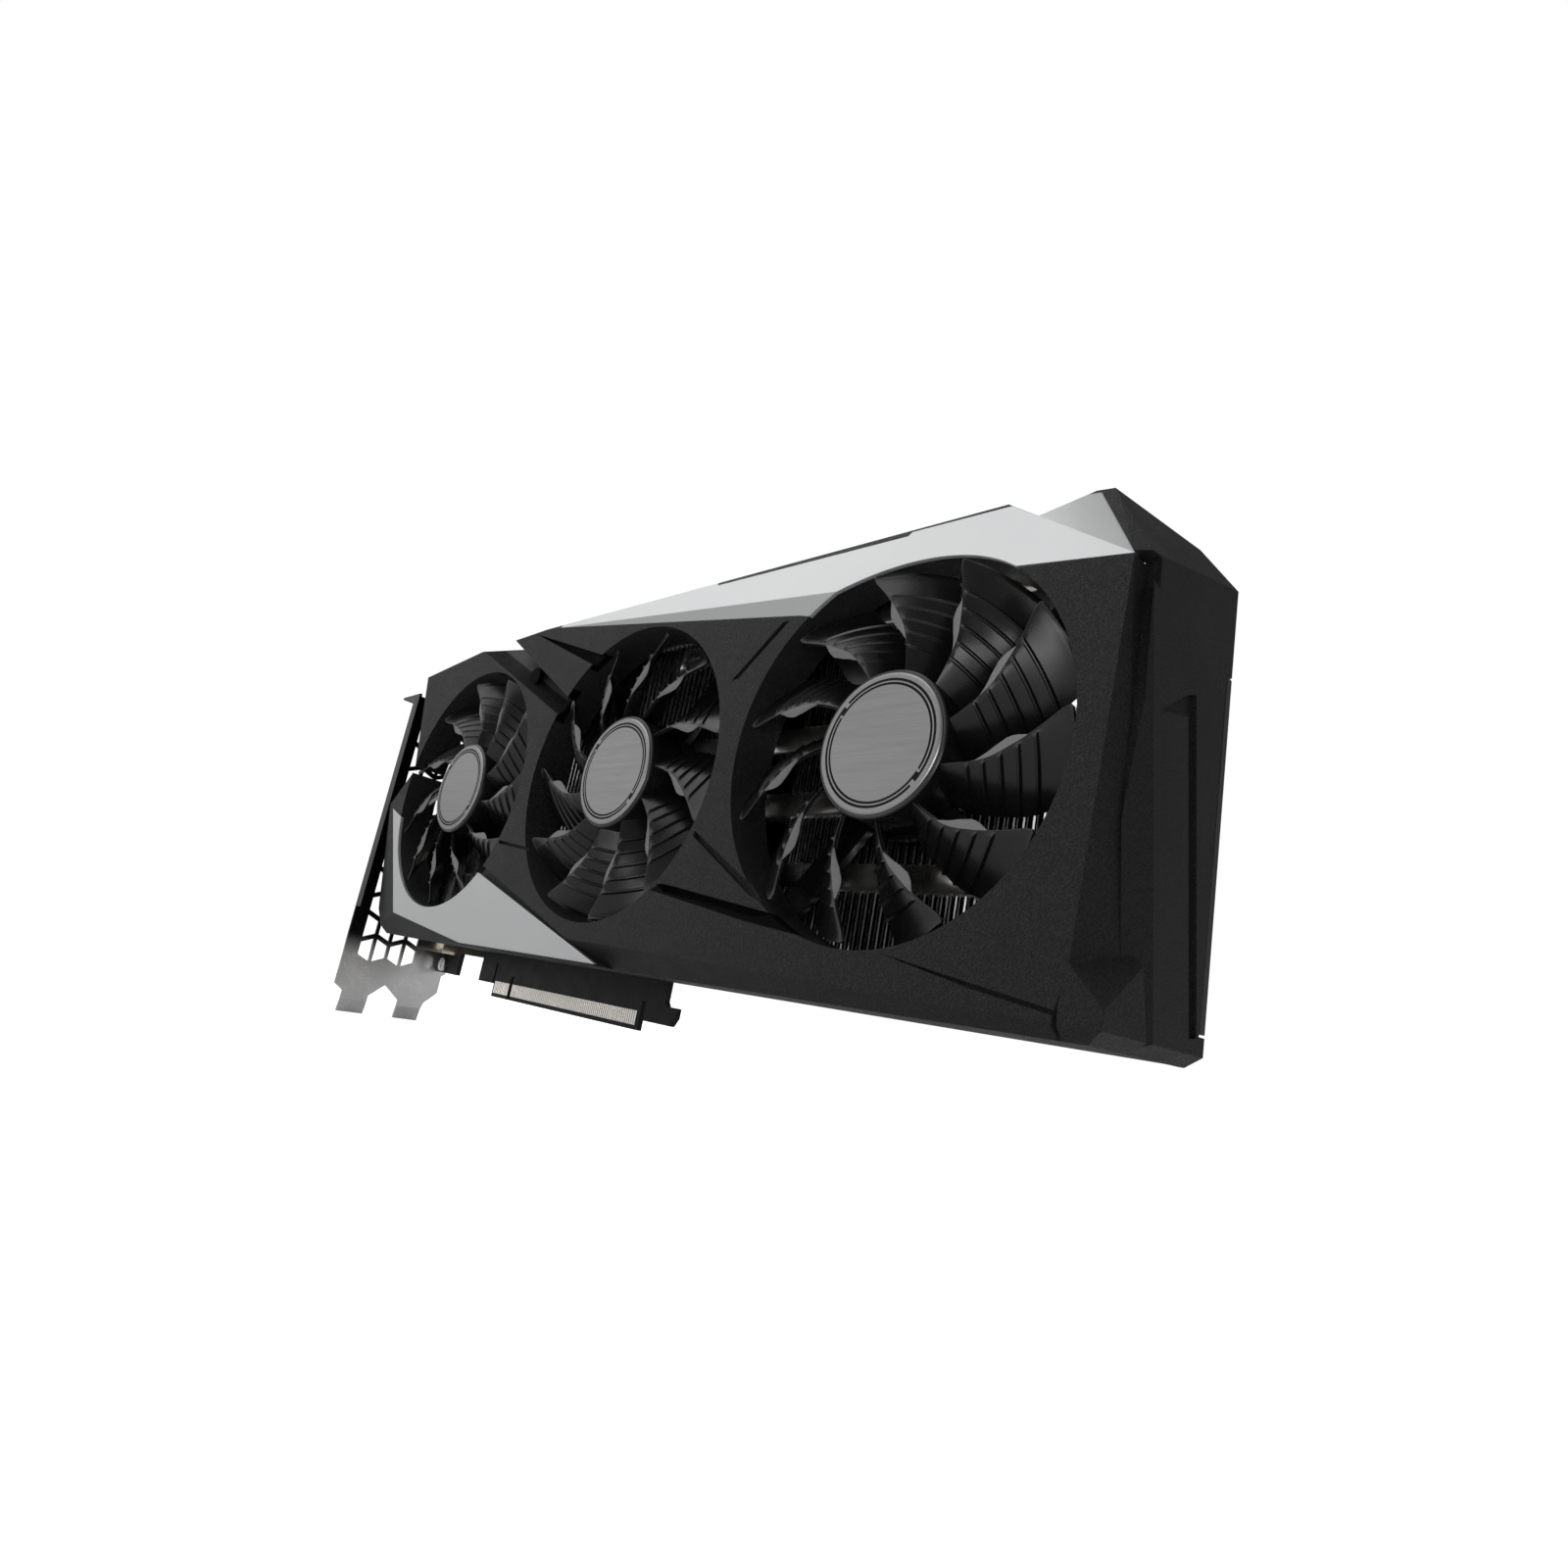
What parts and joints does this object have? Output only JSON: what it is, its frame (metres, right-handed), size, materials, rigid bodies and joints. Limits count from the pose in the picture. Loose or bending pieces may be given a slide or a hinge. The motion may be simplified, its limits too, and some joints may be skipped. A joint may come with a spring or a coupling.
{
  "type": "graphics card",
  "caption": "Two-slot graphics card with faceted shroud, spinning axial fans, fin stack with heat pipes, circuit board, slot bracket and backplate.",
  "frame": {"origin": "key notch of the edge connector, at the connector's lower edge, on the board's middle plane", "axes": "+X along the card away from the slot bracket, +Y from the fans towards the backplate, +Z from the edge connector towards the free long edge"},
  "size_m": [0.2934, 0.0408, 0.132],
  "materials": {
    "shroud_plastic": "fine-grained moulded black",
    "silver_paint": "satin silver paint",
    "diffuser": "milky diffuser",
    "steel_screws": "zinc-plated screws",
    "dark_screws": "black-oxide screws",
    "spring_steel": "ground steel",
    "board": "black solder mask",
    "gold": "gold-plated fingers",
    "substrate": "package laminate",
    "silicon": "polished silicon",
    "chip_epoxy": "moulded epoxy",
    "thermal_pad": "soft silicone pad",
    "ferrite": "moulded ferrite",
    "header_plastic": "black nylon",
    "can_aluminium": "drawn can",
    "nickel": "satin nickel plate",
    "black_plate": "black anodised plate",
    "fin_aluminium": "bare rolled aluminium",
    "bracket_steel": "nickel steel, black towards the top",
    "port_steel": "plated shells",
    "backplate_metal": "black powder coat",
    "fan_plastic": "satin moulded black",
    "badge_aluminium": "horizontally brushed disc",
    "magnet": "bonded magnet",
    "bearing_brass": "sintered sleeve",
    "motor_iron": "laminations and windings"
  },
  "bodies": {
    "card": {"accent_lower": "silver_paint", "accent_top": "silver_paint", "backplate": "backplate_metal", "backplate_screws": "dark_screws", "bracket": "bracket_steel", "capacitors": "can_aluminium", "circuit_board": "board", "clamp_plate": "spring_steel", "clamp_screws": "steel_screws", "cold_plate": "nickel", "cooler_plate": "black_plate", "display_ports": "port_steel", "edge_contacts": "gold", "end_cap": "shroud_plastic", "fan_bearing_left": "bearing_brass", "fan_bearing_middle": "bearing_brass", "fan_bearing_right": "bearing_brass", "fan_headers": "header_plastic", "fan_screws": "steel_screws", "fin_stack_end": "fin_aluminium", "fin_stack_main": "fin_aluminium", "gpu_die": "silicon", "gpu_package": "substrate", "hdmi_ports": "port_steel", "heat_pipes": "nickel", "light_bar": "diffuser", "lug_screws": "steel_screws", "memory_chips": "chip_epoxy", "memory_pads": "thermal_pad", "motor_base_left": "fan_plastic", "motor_base_middle": "fan_plastic", "motor_base_right": "fan_plastic", "power_chokes": "ferrite", "power_socket_6pin": "header_plastic", "power_socket_8pin": "header_plastic", "power_stage_pads": "thermal_pad", "power_stages": "chip_epoxy", "shroud": "shroud_plastic", "stator_left": "motor_iron", "stator_middle": "motor_iron", "stator_right": "motor_iron"},
    "fan_left": {"fan_rotor_left": "fan_plastic", "hub_badge_left": "badge_aluminium", "fan_shaft_left": "spring_steel", "magnet_ring_left": "magnet"},
    "fan_middle": {"fan_rotor_middle": "fan_plastic", "hub_badge_middle": "badge_aluminium", "fan_shaft_middle": "spring_steel", "magnet_ring_middle": "magnet"},
    "fan_right": {"fan_rotor_right": "fan_plastic", "hub_badge_right": "badge_aluminium", "fan_shaft_right": "spring_steel", "magnet_ring_right": "magnet"}
  },
  "joints": [
    {"name": "fan_spin_left", "type": "hinge", "parent": "card", "child": "fan_left", "pos_m": [0.0015, -0.03, 0.0648], "axis": [0, -1, 0], "continuous": true},
    {"name": "fan_spin_middle", "type": "hinge", "parent": "card", "child": "fan_middle", "pos_m": [0.0885, -0.03, 0.0648], "axis": [0, -1, 0], "continuous": true},
    {"name": "fan_spin_right", "type": "hinge", "parent": "card", "child": "fan_right", "pos_m": [0.1755, -0.03, 0.0648], "axis": [0, -1, 0], "continuous": true}
  ]
}
